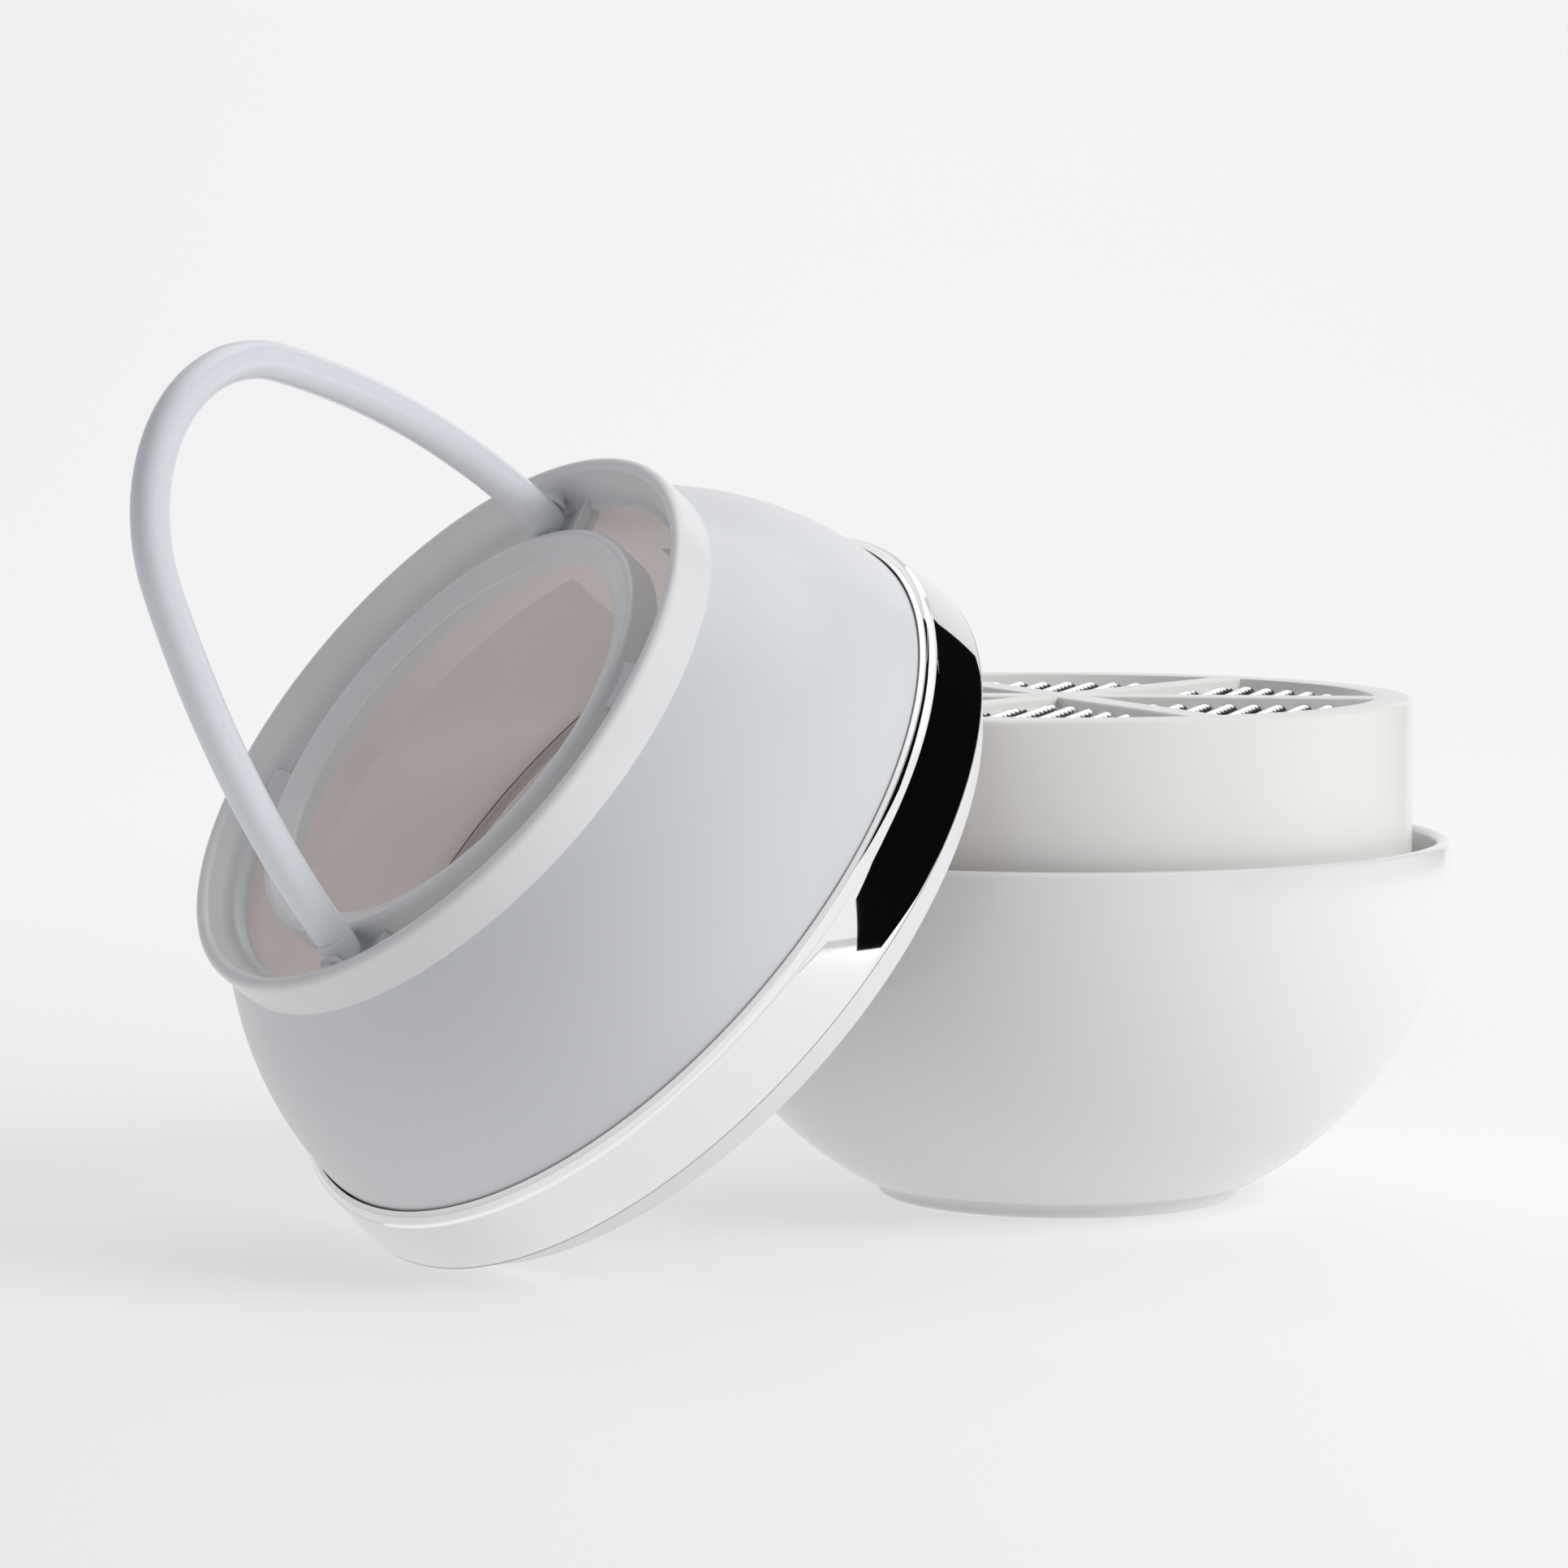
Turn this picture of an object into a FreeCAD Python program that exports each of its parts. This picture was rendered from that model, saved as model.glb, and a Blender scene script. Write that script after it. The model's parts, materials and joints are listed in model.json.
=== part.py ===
"""Rotary cheese grater: a serving bowl, a grater drum that stands in it, and a
rotary lid with a bail handle, which leans against the drum beside the bowl.

Millimetres, +Z up. The origin is the middle of the foot pad's underside, on the
bowl's own axis. Round parts are turned about their axis from a half section whose
points are (radius, height). The lid's pieces are made upright about the lid's own
axis, with height 0 where the lid sits on the bowl's rim, and are then laid in the
leaning place by place_lid().
"""
import FreeCAD, Part
import math
import os

from FreeCAD import Vector

# ---------------------------------------------------------------- driving sizes
# Bowl
BOWL_R = 75.0              # outside radius just below the rim
BOWL_WALL = 2.8
BOWL_RIM_Z = 69.64
BOWL_BELLY_Z = 63.5        # height of the widest place, centre of the belly ellipse
BOWL_BELLY_DROP = 69.8     # vertical half axis of the belly ellipse
BOWL_FLOOR_Z = 5.2         # inside floor
FOOT_R = 34.9
FOOT_H = 1.6
PAD_R = 30.0
PAD_T = 2.0
PAD_PROUD = 0.3            # how far the pad stands below the bowl's foot

# Grater drum
DRUM_R = 67.6
DRUM_TOP_Z = 96.6
DRUM_BASE_Z = 39.2         # where the bowl's wall closes in on the drum
DRUM_WALL = 2.4
DRUM_HOLE_R = 60.1         # opening of the top annulus
DRUM_TOP_T = 2.6           # thickness of annulus and spokes above the plate
SPOKE_COUNT = 6
SPOKE_W = 7.0
SPOKE_TURN = -6.5          # degrees from +X to the first spoke
HUB_R = 7.2
PLATE_R = 63.0
PLATE_T = 0.8
CLAMP_R = 65.0
CLAMP_IN_R = 60.1
CLAMP_T = 3.0
CLAMP_SCREW_COUNT = 6
CLAMP_SCREW_R = 1.0
RIVET_R = 1.5
RIVET_HEAD_R = 3.0

# Lid, half sections about its own axis
LIP_IN_R = 69.0            # clear opening of the lid
LIP_OUT_R = 71.6           # locating lip that drops inside the bowl's rim
LIP_DEPTH = 1.6
SEAT_OUT_R = 73.8          # outer edge of the face that sits on the bowl's rim
BEVEL_TOP_R = 78.8
BEVEL_TOP_H = 6.15
CHROME_TOP_R = 77.65
CHROME_TOP_H = 17.2
CHROME_BORE_R = 76.3
CHROME_SHELF_H = 8.2       # top of the inner shelf that carries the dome
STRIP_T = 0.8
FLANGE_BASE_H = 9.3        # dome's running flange
FLANGE_T = 1.7
FLANGE_R = 76.0
TRIM_IN_R = 75.4
TRIM_TOP_H = 19.3
SHELL_BASE_H = 19.6        # where the dome's show surface starts
SHELL_TOP_H = 56.5
SHELL_R = 75.4             # horizontal half axis of the dome's ellipse
SHELL_BELLY_H = 12.9       # height of its centre
SHELL_RISE = 70.0          # its vertical half axis
SHELL_WALL = 2.4

RIM_OUT_R = 59.3
RIM_CREST_R = 1.5          # rolled edge
RIM_TOP_H = 64.87
SLOT_OUT_R = 53.4          # edge of the four slots beside the rim
SLOT_H = 57.6
INNER_CREST_R = 43.9       # middle of the inner ring's rolled edge
INNER_ROLL_R = 1.3
INNER_TOP_H = 61.76
INNER_LIP_R = 39.2         # clear opening of the top
INNER_LIP_H = 59.9
WEB_BASE_H = 54.9
HANDLE_WEB_W = 14.0
PLAIN_WEB_W = 10.0
PLAIN_WEB_TOP_H = 59.0
SLEEVE_IN_R = 54.4
SLEEVE_WALL = 1.2
SLEEVE_BASE_H = 43.4
SLEEVE_COLLAR_R = 57.6
TAB_BASE_H = 28.6          # the two deeper tabs, just above the seated drum
TAB_HALF_ANGLE = 13.3
FRAME_SCREW_COUNT = 8
RING_SCREW_COUNT = 6

# Bail handle
PIN_H = 60.87              # height of the pivot axis
PIN_R = 1.6
PIN_CLEAR = 0.05
PIN_IN_X = 47.4
PIN_OUT_X = 57.6
TUBE_R = 3.4
TUBE_WALL = 1.0
BAIL_HALF_W = 49.3         # tube's centre line at the pivots
BAIL_RISE = 84.5
BAIL_TOP_R = 29.9          # bend at the top
BAIL_SIDE_R = 183.5        # gentle bend of each side
BAIL_LEAN = 11.0           # degrees from the lid's axis
TIP_LENGTH = 4.0
SPIGOT_LENGTH = 12.0
FOLD_LIMIT = 70.0          # degrees the bail folds to each side

# Where the lid leans
LID_AZIMUTH = -147.93      # degrees, heading of the lid's axis seen from above
LID_ELEVATION = 39.17      # degrees, how steeply the lid's axis points up
LID_SEAT_X = -73.4         # middle of the lid's seat face
LID_SEAT_Y = -52.9
BAIL_TURN = -71.3           # degrees, pivot axis from the lid's level line

RUN = 0.3                  # gap between curved surfaces that move past each other


# ---------------------------------------------------------------- small helpers
def pt(radius, height):
    return Vector(radius, 0, height)


def line(a, b):
    return Part.LineSegment(a, b).toShape()


def arc(a, middle, b):
    return Part.Arc(a, middle, b).toShape()


def ellipse_arc(r_axis, z_centre, z_axis, z_from, z_to):
    """Arc of an upright ellipse centred on the axis, between two heights."""
    centre = pt(0, z_centre)
    long_end = pt(r_axis, z_centre) if r_axis >= z_axis else pt(0, z_centre + z_axis)
    short_end = pt(0, z_centre + z_axis) if r_axis >= z_axis else pt(r_axis, z_centre)
    curve = Part.Ellipse(long_end, short_end, centre)
    start = curve.parameter(pt(ellipse_r(r_axis, z_centre, z_axis, z_from), z_from))
    end = curve.parameter(pt(ellipse_r(r_axis, z_centre, z_axis, z_to), z_to))
    low, high = min(start, end), max(start, end)
    if high - low > math.pi:
        low, high = high, low + 2 * math.pi
    return Part.ArcOfEllipse(curve, low, high).toShape()


def ellipse_r(r_axis, z_centre, z_axis, z):
    return r_axis * math.sqrt(1 - ((z - z_centre) / z_axis) ** 2)


def turn_edges(edges):
    """Revolve a closed half section, given as edges, about the Z axis."""
    wire = Part.Wire(Part.__sortEdges__(edges))
    return Part.Face(wire).revolve(Vector(0, 0, 0), Vector(0, 0, 1), 360)


def turn(points):
    """Revolve a closed half section, given as (radius, height) corners."""
    corners = [pt(r, h) for r, h in points]
    return turn_edges([line(a, b) for a, b in zip(corners, corners[1:] + corners[:1])])


def around(shape, count, first=0.0):
    """Copies of a shape, evenly spaced about the Z axis."""
    return [shape.rotated(Vector(0, 0, 0), Vector(0, 0, 1), first + i * 360.0 / count)
            for i in range(count)]


def one_solid(shape):
    """The single solid of a shape, with seams between co-planar faces removed."""
    return shape.removeSplitter().Solids[0]


def cyl(radius, height, base, direction=Vector(0, 0, 1)):
    return Part.makeCylinder(radius, height, base, direction)


def rotate_z(shape, degrees):
    return shape.rotated(Vector(0, 0, 0), Vector(0, 0, 1), degrees)


# ---------------------------------------------------------------- bowl
def make_bowl():
    """Thin round bowl with a rounded rim, a low foot and a recess for the pad."""
    foot_base = PAD_PROUD
    foot_top = foot_base + FOOT_H
    body_r = ellipse_r(BOWL_R, BOWL_BELLY_Z, BOWL_BELLY_DROP, foot_top + 1.6)
    in_r = BOWL_R - BOWL_WALL
    in_drop = BOWL_BELLY_DROP - BOWL_WALL - 0.4
    floor_r = ellipse_r(in_r, BOWL_BELLY_Z, in_drop, BOWL_FLOOR_Z)
    shoulder = BOWL_RIM_Z - BOWL_WALL / 2
    recess_z = PAD_T
    edges = [
        line(pt(0, recess_z), pt(PAD_R + 0.2, recess_z)),
        line(pt(PAD_R + 0.2, recess_z), pt(PAD_R + 0.2, foot_base)),
        line(pt(PAD_R + 0.2, foot_base), pt(FOOT_R - 1.0, foot_base)),
        arc(pt(FOOT_R - 1.0, foot_base), pt(FOOT_R - 0.29, foot_base + 0.29), pt(FOOT_R, foot_base + 1.0)),
        line(pt(FOOT_R, foot_base + 1.0), pt(FOOT_R + 0.1, foot_top)),
        arc(pt(FOOT_R + 0.1, foot_top), pt(FOOT_R + 0.9, foot_top + 1.0), pt(body_r, foot_top + 1.6)),
        ellipse_arc(BOWL_R, BOWL_BELLY_Z, BOWL_BELLY_DROP, foot_top + 1.6, BOWL_BELLY_Z),
        line(pt(BOWL_R, BOWL_BELLY_Z), pt(BOWL_R, shoulder)),
        arc(pt(BOWL_R, shoulder), pt(BOWL_R - BOWL_WALL / 2, BOWL_RIM_Z), pt(in_r, shoulder)),
        line(pt(in_r, shoulder), pt(in_r, BOWL_BELLY_Z)),
        ellipse_arc(in_r, BOWL_BELLY_Z, in_drop, BOWL_FLOOR_Z, BOWL_BELLY_Z),
        line(pt(floor_r, BOWL_FLOOR_Z), pt(0, BOWL_FLOOR_Z)),
        line(pt(0, BOWL_FLOOR_Z), pt(0, recess_z)),
    ]
    return turn_edges(edges).Solids[0]


def make_foot_pad():
    pad = cyl(PAD_R, PAD_T, Vector(0, 0, 0))
    return pad.makeChamfer(0.2, [edge for edge in pad.Edges if edge.BoundBox.ZMax < 0.01])


# ---------------------------------------------------------------- grater drum
def make_drum_frame():
    """Drum wall with a top annulus, six flat spokes and a hub, open below."""
    plate_z = DRUM_TOP_Z - DRUM_TOP_T
    clamp_z = plate_z - PLATE_T - CLAMP_T
    bore = DRUM_R - DRUM_WALL
    wall = turn([
        (DRUM_HOLE_R, plate_z), (DRUM_HOLE_R, DRUM_TOP_Z - 0.3), (DRUM_HOLE_R + 0.3, DRUM_TOP_Z),
        (DRUM_R - 1.2, DRUM_TOP_Z), (DRUM_R - 0.35, DRUM_TOP_Z - 0.35), (DRUM_R, DRUM_TOP_Z - 1.2),
        (DRUM_R, DRUM_BASE_Z + 1.6), (DRUM_R - 1.0, DRUM_BASE_Z), (bore + 0.4, DRUM_BASE_Z),
        (bore, DRUM_BASE_Z + 0.8), (bore, clamp_z - 1.0), (bore - 0.2, clamp_z),
        (bore - 0.2, plate_z),
    ])
    spoke = Part.makeBox(DRUM_HOLE_R + 1.0, SPOKE_W, DRUM_TOP_T, Vector(0, -SPOKE_W / 2, plate_z))
    hub = cyl(HUB_R, DRUM_TOP_T, Vector(0, 0, plate_z))
    frame = wall.fuse(around(spoke, SPOKE_COUNT, SPOKE_TURN) + [hub])
    boss_cut = [screw.copy() for screw in clamp_screw_shapes()]
    return one_solid(frame.cut(boss_cut + [make_hub_rivet()]))


def make_grating_plate():
    plate = cyl(PLATE_R, PLATE_T, Vector(0, 0, DRUM_TOP_Z - DRUM_TOP_T - PLATE_T))
    return one_solid(plate.cut(clamp_screw_shapes() + [make_hub_rivet()]))


def make_clamp_ring():
    """Ring that holds the plate up against the annulus."""
    top = DRUM_TOP_Z - DRUM_TOP_T - PLATE_T
    ring = turn([(CLAMP_IN_R, top), (CLAMP_R, top), (CLAMP_R, top - CLAMP_T + 0.4),
                 (CLAMP_R - 0.4, top - CLAMP_T), (CLAMP_IN_R + 0.4, top - CLAMP_T),
                 (CLAMP_IN_R, top - CLAMP_T + 0.4)])
    return one_solid(ring.cut(clamp_screw_shapes()))


def clamp_screw_shapes():
    """Small screws, put in from below, up into the annulus."""
    base = DRUM_TOP_Z - DRUM_TOP_T - PLATE_T - CLAMP_T
    radius = (CLAMP_IN_R + PLATE_R) / 2
    shank = cyl(CLAMP_SCREW_R, CLAMP_T + PLATE_T + 1.5, Vector(radius, 0, base))
    head = cyl(CLAMP_SCREW_R * 1.8, 1.2, Vector(radius, 0, base - 1.0))
    head_slot = Part.makeBox(4, 0.5, 0.5, Vector(radius - 2, -0.25, base - 1.0))
    screw = shank.fuse(head).cut(head_slot)
    return around(screw.Solids[0], CLAMP_SCREW_COUNT, SPOKE_TURN + 30)


def make_hub_rivet():
    """Rivet through the hub's underside that stops the plate from drumming."""
    top = DRUM_TOP_Z - DRUM_TOP_T - PLATE_T
    head = turn([(0, top), (RIVET_HEAD_R, top), (RIVET_HEAD_R - 0.5, top - 1.0), (0, top - 1.3)])
    return head.fuse(cyl(RIVET_R, PLATE_T + 1.6, Vector(0, 0, top))).Solids[0]


# ---------------------------------------------------------------- lid: ring group
def make_glide_ring():
    """White lower ring: locating lip, seat face and the bevel that shows."""
    ring = turn([
        (LIP_IN_R, -LIP_DEPTH + 0.3), (LIP_IN_R + 0.3, -LIP_DEPTH), (LIP_OUT_R - 0.3, -LIP_DEPTH),
        (LIP_OUT_R, -LIP_DEPTH + 0.3), (LIP_OUT_R, 0), (SEAT_OUT_R, 0),
        (BEVEL_TOP_R, BEVEL_TOP_H - 0.15), (BEVEL_TOP_R, BEVEL_TOP_H), (LIP_IN_R, BEVEL_TOP_H),
    ])
    return one_solid(ring.cut(ring_screw_shapes()))


def make_chrome_ring():
    """Polished ring with an inner shelf, and a cove at its top edge."""
    wall_mid = pt((BEVEL_TOP_R + CHROME_TOP_R) / 2 + 0.35, (BEVEL_TOP_H + CHROME_TOP_H) / 2)
    cove_out = pt(CHROME_TOP_R - 0.15, CHROME_TOP_H + 0.05)
    cove_in = pt(CHROME_BORE_R, CHROME_TOP_H + 1.4)
    cove_mid = pt(CHROME_TOP_R - 0.9, CHROME_TOP_H + 0.45)
    shelf_r = LIP_IN_R + 0.8
    edges = [
        line(pt(shelf_r, BEVEL_TOP_H), pt(BEVEL_TOP_R - 0.3, BEVEL_TOP_H)),
        line(pt(BEVEL_TOP_R - 0.3, BEVEL_TOP_H), pt(BEVEL_TOP_R, BEVEL_TOP_H + 0.3)),
        arc(pt(BEVEL_TOP_R, BEVEL_TOP_H + 0.3), wall_mid, pt(CHROME_TOP_R, CHROME_TOP_H - 0.1)),
        line(pt(CHROME_TOP_R, CHROME_TOP_H - 0.1), cove_out),
        arc(cove_out, cove_mid, cove_in),
        line(cove_in, pt(CHROME_BORE_R, CHROME_SHELF_H)),
        line(pt(CHROME_BORE_R, CHROME_SHELF_H), pt(shelf_r, CHROME_SHELF_H)),
        line(pt(shelf_r, CHROME_SHELF_H), pt(shelf_r, BEVEL_TOP_H)),
    ]
    return one_solid(turn_edges(edges).cut(ring_screw_shapes()))


def make_trim_ring():
    """Satin trim collar that keeps the dome's flange down."""
    base = FLANGE_BASE_H + FLANGE_T + RUN
    return turn([(TRIM_IN_R, base), (CHROME_BORE_R, base), (CHROME_BORE_R, TRIM_TOP_H - 0.5),
                 (TRIM_IN_R + 0.1, TRIM_TOP_H), (TRIM_IN_R, TRIM_TOP_H - 0.1)]).Solids[0]


def make_bearing_strip():
    """Flat slippery strip between the chrome ring's shelf and the dome's flange."""
    shell_in = shell_skirt_r() - SHELL_WALL
    return turn([(shell_in, CHROME_SHELF_H), (CHROME_BORE_R, CHROME_SHELF_H),
                 (CHROME_BORE_R, CHROME_SHELF_H + STRIP_T), (shell_in, CHROME_SHELF_H + STRIP_T)]).Solids[0]


def ring_screw_shapes():
    """Countersunk screws from the seat face up into the chrome ring's shelf."""
    radius = (LIP_OUT_R + SEAT_OUT_R) / 2
    screw = turn([(0, 0.2), (1.0, 0.2), (0.6, 1.2), (0.6, 7.6), (0, 7.6)])
    screw.translate(Vector(radius, 0, 0))
    slot = Part.makeBox(2.4, 0.3, 0.3, Vector(radius - 1.2, -0.15, 0.2))
    return around(screw.cut(slot).Solids[0], RING_SCREW_COUNT)


# ---------------------------------------------------------------- lid: dome group
def shell_skirt_r():
    return ellipse_r(SHELL_R, SHELL_BELLY_H, SHELL_RISE, SHELL_BASE_H)


def make_dome_shell():
    """Glossy dome with a running flange below and a screw flange above."""
    top_r = ellipse_r(SHELL_R, SHELL_BELLY_H, SHELL_RISE, SHELL_TOP_H)
    in_r = SHELL_R - SHELL_WALL
    in_rise = SHELL_RISE - SHELL_WALL
    under_h = SHELL_TOP_H - 2.3
    under_r = ellipse_r(in_r, SHELL_BELLY_H, in_rise, under_h)
    skirt_r = shell_skirt_r()
    skirt_in_r = ellipse_r(in_r, SHELL_BELLY_H, in_rise, SHELL_BASE_H)
    hole_r = SLEEVE_IN_R + SLEEVE_WALL + 0.2
    edges = [
        line(pt(skirt_in_r, FLANGE_BASE_H), pt(FLANGE_R, FLANGE_BASE_H)),
        line(pt(FLANGE_R, FLANGE_BASE_H), pt(FLANGE_R, FLANGE_BASE_H + FLANGE_T)),
        line(pt(FLANGE_R, FLANGE_BASE_H + FLANGE_T), pt(skirt_r, FLANGE_BASE_H + FLANGE_T)),
        line(pt(skirt_r, FLANGE_BASE_H + FLANGE_T), pt(skirt_r, SHELL_BASE_H)),
        ellipse_arc(SHELL_R, SHELL_BELLY_H, SHELL_RISE, SHELL_BASE_H, SHELL_TOP_H),
        line(pt(top_r, SHELL_TOP_H), pt(hole_r, SHELL_TOP_H)),
        line(pt(hole_r, SHELL_TOP_H), pt(hole_r, under_h)),
        line(pt(hole_r, under_h), pt(under_r, under_h)),
        ellipse_arc(in_r, SHELL_BELLY_H, in_rise, SHELL_BASE_H, under_h),
        line(pt(skirt_in_r, SHELL_BASE_H), pt(skirt_in_r, FLANGE_BASE_H)),
    ]
    return one_solid(turn_edges(edges).cut(frame_screw_shapes()))


def make_rim_section():
    """Rim of the top frame: outer band, rolled edge, sloping inner wall, slot edge."""
    crest_out = RIM_OUT_R
    crest_in = RIM_OUT_R - 2 * RIM_CREST_R
    crest_h = RIM_TOP_H - RIM_CREST_R
    edges = [
        line(pt(SLOT_OUT_R, SHELL_TOP_H), pt(RIM_OUT_R - 0.3, SHELL_TOP_H)),
        line(pt(RIM_OUT_R - 0.3, SHELL_TOP_H), pt(RIM_OUT_R, SHELL_TOP_H + 0.3)),
        line(pt(RIM_OUT_R, SHELL_TOP_H + 0.3), pt(crest_out, crest_h)),
        arc(pt(crest_out, crest_h), pt(RIM_OUT_R - RIM_CREST_R, RIM_TOP_H), pt(crest_in, crest_h)),
        line(pt(crest_in, crest_h), pt(55.0, 59.6)),
        arc(pt(55.0, 59.6), pt(54.5, 58.4), pt(SLOT_OUT_R, SLOT_H)),
        line(pt(SLOT_OUT_R, SLOT_H), pt(SLOT_OUT_R, SHELL_TOP_H)),
    ]
    return turn_edges(edges)


def make_inner_ring():
    """Inner ring of the top frame, with a rolled edge and a lip around the opening."""
    roll_h = INNER_TOP_H - INNER_ROLL_R
    wall_out = INNER_CREST_R + INNER_ROLL_R
    wall_in = INNER_CREST_R - INNER_ROLL_R
    crest_in = pt(wall_in + 0.3, roll_h + 0.85)
    edges = [
        line(pt(wall_in, WEB_BASE_H), pt(wall_out, WEB_BASE_H)),
        line(pt(wall_out, WEB_BASE_H), pt(wall_out, roll_h)),
        arc(pt(wall_out, roll_h), pt(INNER_CREST_R, INNER_TOP_H), crest_in),
        line(crest_in, pt(INNER_LIP_R + 0.4, INNER_LIP_H)),
        arc(pt(INNER_LIP_R + 0.4, INNER_LIP_H), pt(INNER_LIP_R, INNER_LIP_H - 0.5),
            pt(INNER_LIP_R + 0.3, INNER_LIP_H - 1.0)),
        line(pt(INNER_LIP_R + 0.3, INNER_LIP_H - 1.0), pt(wall_in, INNER_LIP_H - 1.6)),
        line(pt(wall_in, INNER_LIP_H - 1.6), pt(wall_in, WEB_BASE_H)),
    ]
    return turn_edges(edges)


def make_web(width, top_h, across):
    """One web from the inner ring to the rim, along +X; across shapes its top."""
    start = INNER_CREST_R
    lower = Part.makeBox(SLOT_OUT_R + 0.4 - start, width, SHELL_TOP_H - WEB_BASE_H,
                         Vector(start, -width / 2, WEB_BASE_H))
    upper = Part.makeBox(RIM_OUT_R - 3.2 - start, width, top_h - SHELL_TOP_H,
                         Vector(start, -width / 2, SHELL_TOP_H))
    return lower.fuse(upper).cut(across)


def saddle_cut():
    """Room for a handle end through its whole fold: a trough with sloping sides."""
    room = TUBE_R + 0.5
    slope = math.tan(math.radians(90 - FOLD_LIMIT))
    bottom = PIN_H - room / math.cos(math.radians(90 - FOLD_LIMIT))
    half = HANDLE_WEB_W
    side_h = bottom + half * slope
    x = INNER_CREST_R + INNER_ROLL_R
    corners = [Vector(x, 0, bottom), Vector(x, half, side_h), Vector(x, half, PIN_H + 9),
               Vector(x, -half, PIN_H + 9), Vector(x, -half, side_h)]
    wire = Part.makePolygon(corners + corners[:1])
    return Part.Face(wire).extrude(Vector(SLOT_OUT_R - x + 0.2, 0, 0))


def make_top_frame():
    """Rim and inner ring joined by two handle webs and two plain webs."""
    hollow = cyl(5.2, 30, Vector(INNER_CREST_R + 5.4, -15, PLAIN_WEB_TOP_H + 3.6), Vector(0, 1, 0))
    handle_web = make_web(HANDLE_WEB_W, 60.6, saddle_cut())
    plain_web = make_web(PLAIN_WEB_W, PLAIN_WEB_TOP_H, hollow)
    webs = around(handle_web, 2) + around(plain_web, 2, 90)
    frame = make_rim_section().fuse([make_inner_ring()] + webs)
    bore = cyl(PIN_R + PIN_CLEAR, PIN_OUT_X + 0.2 - SLOT_OUT_R + 0.5,
               Vector(SLOT_OUT_R - 0.5, 0, PIN_H), Vector(1, 0, 0))
    return one_solid(frame.cut(around(bore, 2) + frame_screw_shapes()))


def make_sleeve():
    """Thin sleeve below the frame that holds the cheese, with two deeper tabs."""
    out_r = SLEEVE_IN_R + SLEEVE_WALL
    collar_h = SHELL_TOP_H - 2.3
    sleeve = turn([(SLEEVE_IN_R, SLEEVE_BASE_H), (out_r, SLEEVE_BASE_H), (out_r, collar_h - 1.0),
                   (SLEEVE_COLLAR_R, collar_h - 1.0), (SLEEVE_COLLAR_R, collar_h), (out_r, collar_h),
                   (out_r, SHELL_TOP_H), (SLEEVE_IN_R, SHELL_TOP_H)])
    tab_ring = turn([(SLEEVE_IN_R, TAB_BASE_H), (out_r, TAB_BASE_H),
                     (out_r, SLEEVE_BASE_H + 0.5), (SLEEVE_IN_R, SLEEVE_BASE_H + 0.5)])
    reach = out_r + 5
    half_w = reach * math.tan(math.radians(TAB_HALF_ANGLE))
    wedge_wire = Part.makePolygon([Vector(0, 0, 0), Vector(reach, -half_w, 0),
                                   Vector(reach, half_w, 0), Vector(0, 0, 0)])
    wedge = Part.Face(wedge_wire).extrude(Vector(0, 0, SHELL_TOP_H))
    tab = tab_ring.common(wedge)
    return one_solid(sleeve.fuse(around(tab, 2)).cut(frame_screw_shapes()))


def frame_screw_shapes():
    """Screws up through the sleeve's collar and the shell's flange into the rim."""
    collar_h = SHELL_TOP_H - 2.3
    radius = 57.0
    shank = cyl(0.8, 7.2, Vector(radius, 0, collar_h - 1.2))
    head = cyl(1.3, 1.0, Vector(radius, 0, collar_h - 2.0))
    slot = Part.makeBox(3, 0.4, 0.4, Vector(radius - 1.5, -0.2, collar_h - 2.0))
    return around(shank.fuse(head).cut(slot).Solids[0], FRAME_SCREW_COUNT, 22.5)


# ---------------------------------------------------------------- lid: bail handle
def bail_plane_point(across, up):
    """A point in the bail's own upright plane, with the pivots at height PIN_H."""
    return Vector(across, 0, PIN_H + up)


def bail_path(start_along):
    """Centre line of the bail from one pivot over to the other, as three arcs.

    start_along is how far along each side the line starts above its pivot.
    """
    top_centre = (0.0, BAIL_RISE - BAIL_TOP_R)
    reach = math.hypot(BAIL_HALF_W, top_centre[1])
    gap = BAIL_SIDE_R - BAIL_TOP_R
    along = (gap ** 2 - BAIL_SIDE_R ** 2 + reach ** 2) / (2 * reach)
    off = math.sqrt(gap ** 2 - along ** 2)
    ux, uz = BAIL_HALF_W / reach, -top_centre[1] / reach
    side_centre = (ux * along + uz * off, top_centre[1] + uz * along - ux * off)
    join_angle = math.atan2(top_centre[1] - side_centre[1], -side_centre[0])
    foot_angle = math.atan2(-side_centre[1], BAIL_HALF_W - side_centre[0])
    start_angle = foot_angle + start_along / BAIL_SIDE_R

    def on_side(angle, sign):
        return bail_plane_point(sign * (side_centre[0] + BAIL_SIDE_R * math.cos(angle)),
                                side_centre[1] + BAIL_SIDE_R * math.sin(angle))

    middle_angle = (start_angle + join_angle) / 2
    top = bail_plane_point(0, BAIL_RISE)
    sides = {sign: arc(on_side(start_angle, sign), on_side(middle_angle, sign),
                       on_side(join_angle, sign)) for sign in (1, -1)}
    over = arc(on_side(join_angle, 1), top, on_side(join_angle, -1))
    tangent = Vector(-math.sin(start_angle), 0, math.cos(start_angle))
    return Part.Wire([sides[1], over, sides[-1]]), on_side(start_angle, 1), tangent


def sweep_tube(radius, start_along):
    path, start, tangent = bail_path(start_along)
    ring = Part.Wire(Part.makeCircle(radius, start, tangent))
    return path.makePipeShell([ring], True, False)


def lean_bail(shape):
    return shape.rotated(Vector(0, 0, PIN_H), Vector(1, 0, 0), BAIL_LEAN)


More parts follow.
